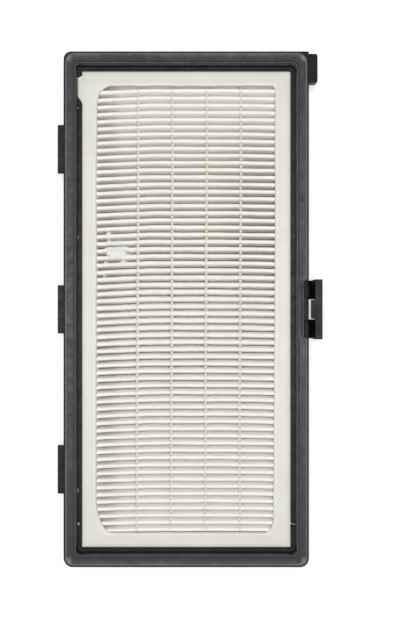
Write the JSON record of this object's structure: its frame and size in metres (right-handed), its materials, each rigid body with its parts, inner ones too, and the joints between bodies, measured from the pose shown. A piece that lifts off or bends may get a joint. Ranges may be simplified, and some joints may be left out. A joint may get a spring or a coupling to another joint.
{
  "type": "clip-in hepa exhaust filter cassette",
  "caption": "Rectangular clip-in filter cassette: pleated cream medium potted in a dark frame with a raised gasket, locating tabs, a corner lug and a snap latch.",
  "frame": {"origin": "centre of the frame on its back face, where the middle ribs of the back grid cross", "axes": "+X towards the snap latch, +Y along the frame towards the corner lug, +Z out of the open pleated front"},
  "size_m": [0.1165, 0.225, 0.03],
  "materials": {
    "frame_plastic": "fine moulded satin",
    "gasket_rubber": "soft satin",
    "filter_medium": "matt glass paper",
    "sealant": "smooth poured",
    "hot_melt": "waxy"
  },
  "bodies": {
    "root": {"frame": "frame_plastic", "gasket": "gasket_rubber", "media_pack": "filter_medium", "potting": "sealant", "separator_bead_front_1": "hot_melt", "separator_bead_front_2": "hot_melt", "separator_bead_front_3": "hot_melt", "separator_bead_front_4": "hot_melt", "separator_bead_rear_1": "hot_melt", "separator_bead_rear_2": "hot_melt", "separator_bead_rear_3": "hot_melt", "separator_bead_rear_4": "hot_melt"}
  },
  "joints": []
}
